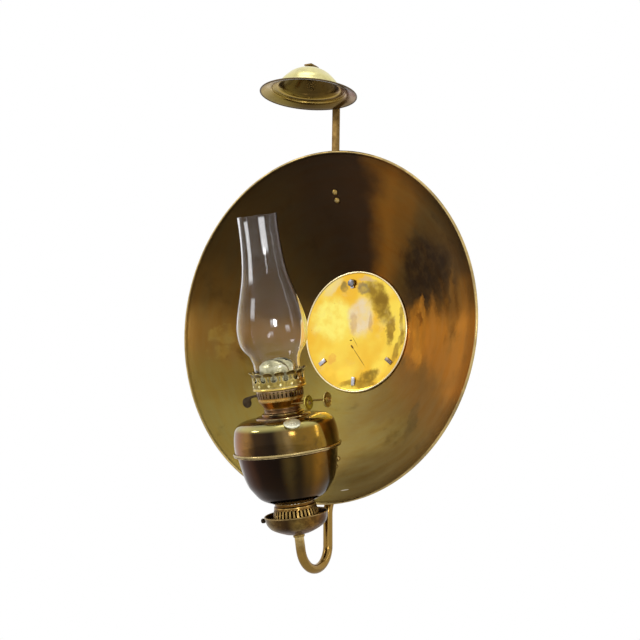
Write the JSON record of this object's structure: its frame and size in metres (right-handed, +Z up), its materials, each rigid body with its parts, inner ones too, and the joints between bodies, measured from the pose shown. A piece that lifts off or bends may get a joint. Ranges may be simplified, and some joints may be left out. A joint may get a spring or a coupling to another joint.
{
  "type": "kerosene wall lamp",
  "caption": "Wall-hung brass kerosene lamp with a conical reflector, centre mirror, smoke bell, glass chimney, duplex burner and a lift-out font in a cup on a bent tube.",
  "frame": {"origin": "Middle of the wall plate's back face, on the wall.", "axes": "+Z up, +Y into the wall, so the lamp faces -Y; +X to the right as seen from the front, on the winder knobs' side."},
  "size_m": [0.51, 0.287, 0.7287],
  "materials": {
    "aged_brass": "aged, brushed, olive to brown",
    "dark_brass": "polished, dark red-brown",
    "pale_brass": "polished, pale",
    "yellow_brass": "worn, yellow",
    "copper_brass": "tarnished, coppery",
    "blackened_brass": "blackened",
    "mirror_brass": "mirror polished",
    "bright_steel": "plain",
    "clear_glass": "clear",
    "cotton": "woven",
    "cork": "cork"
  },
  "bodies": {
    "wall_bracket": {"wall_plate": "aged_brass", "plate_rivet_upper": "aged_brass", "plate_rivet_lower": "aged_brass", "reflector_dish": "aged_brass", "mirror_disc": "mirror_brass", "mirror_tab_top": "bright_steel", "mirror_tab_bottom": "bright_steel", "mirror_tab_left": "bright_steel", "mirror_tab_right": "bright_steel", "bell_strap": "aged_brass", "strap_screw_outer": "yellow_brass", "strap_screw_inner": "yellow_brass", "strap_nut_outer": "yellow_brass", "strap_nut_inner": "yellow_brass", "smoke_bell": "pale_brass", "bell_boss": "pale_brass", "bell_bolt": "pale_brass", "arm_stay": "aged_brass", "arm_screw_outer": "yellow_brass", "arm_screw_inner": "yellow_brass", "arm_nut_outer": "yellow_brass", "arm_nut_inner": "yellow_brass", "arm_tube": "aged_brass", "arm_ferrule": "yellow_brass", "lamp_cup": "dark_brass"},
    "thumb_screw": {"cup_screw": "blackened_brass"},
    "font": {"font_foot": "dark_brass", "font_bowl": "dark_brass", "font_shoulder": "dark_brass", "filler_neck": "dark_brass", "font_collar": "copper_brass"},
    "cap": {"filler_cap": "pale_brass", "filler_washer": "cork"},
    "burner": {"burner_cone": "copper_brass", "burner_deck": "yellow_brass", "wick_tube_front": "yellow_brass", "wick_tube_rear": "yellow_brass", "draught_band": "copper_brass", "air_plate": "yellow_brass", "lever_pin": "bright_steel"},
    "front_winder": {"winder_spindle_front": "yellow_brass", "winder_knob_front": "yellow_brass"},
    "rear_winder": {"winder_spindle_rear": "yellow_brass", "winder_knob_rear": "copper_brass"},
    "front_wick": {"wick_front": "cotton"},
    "rear_wick": {"wick_rear": "cotton"},
    "lever": {"extinguisher_lever": "blackened_brass"},
    "sleeves": {"extinguisher_sleeves": "yellow_brass"},
    "gallery": {"gallery_crown": "yellow_brass", "burner_dome": "pale_brass"},
    "glass": {"chimney": "clear_glass"}
  },
  "joints": [
    {"name": "screw_turn", "type": "hinge", "parent": "wall_bracket", "child": "thumb_screw", "pos_m": [-0.05, -0.16358, -0.27806], "axis": [-1, 0, 0], "range_deg": [0, 720]},
    {"name": "font_lift", "type": "slide", "parent": "wall_bracket", "child": "font", "axis": [0, -0.225, 0.9744], "range_m": [0, 0.04]},
    {"name": "cap_lift", "type": "slide", "parent": "font", "child": "cap", "axis": [0.2988, -0.4951, 0.8159], "range_m": [0, 0.012]},
    {"name": "burner_lift", "type": "slide", "parent": "font", "child": "burner", "axis": [0, -0.225, 0.9744], "range_m": [0, 0.04]},
    {"name": "front_winder_turn", "type": "hinge", "parent": "burner", "child": "front_winder", "pos_m": [0, -0.21156, -0.11912], "axis": [1, 0, 0], "range_deg": [-220, 145]},
    {"name": "rear_winder_turn", "type": "hinge", "parent": "burner", "child": "rear_winder", "pos_m": [0, -0.19013, -0.11417], "axis": [-1, 0, 0], "range_deg": [-220, 145]},
    {"name": "front_wick_rise", "type": "slide", "parent": "burner", "child": "front_wick", "axis": [0, -0.225, 0.9744], "range_m": [-0.012, 0.008]},
    {"name": "rear_wick_rise", "type": "slide", "parent": "burner", "child": "rear_wick", "axis": [0, -0.225, 0.9744], "range_m": [-0.012, 0.008]},
    {"name": "sleeve_rise", "type": "slide", "parent": "burner", "child": "sleeves", "axis": [0, -0.225, 0.9744], "range_m": [0, 0.0085]},
    {"name": "lever_press", "type": "hinge", "parent": "burner", "child": "lever", "pos_m": [-0.0295, -0.20369, -0.10432], "axis": [0, -0.9744, -0.225], "range_deg": [0, 23.5]},
    {"name": "gallery_lift", "type": "slide", "parent": "burner", "child": "gallery", "axis": [0, -0.225, 0.9744], "range_m": [0, 0.04]},
    {"name": "chimney_lift", "type": "slide", "parent": "gallery", "child": "glass", "axis": [0, -0.225, 0.9744], "range_m": [0, 0.04]}
  ],
  "couplings": [
    {"joint": "front_wick_rise", "follows": "front_winder_turn", "m_per_rad": 0.0031},
    {"joint": "rear_wick_rise", "follows": "rear_winder_turn", "m_per_rad": 0.0031},
    {"joint": "lever_press", "follows": "sleeve_rise", "rad_per_m": 47.8}
  ]
}
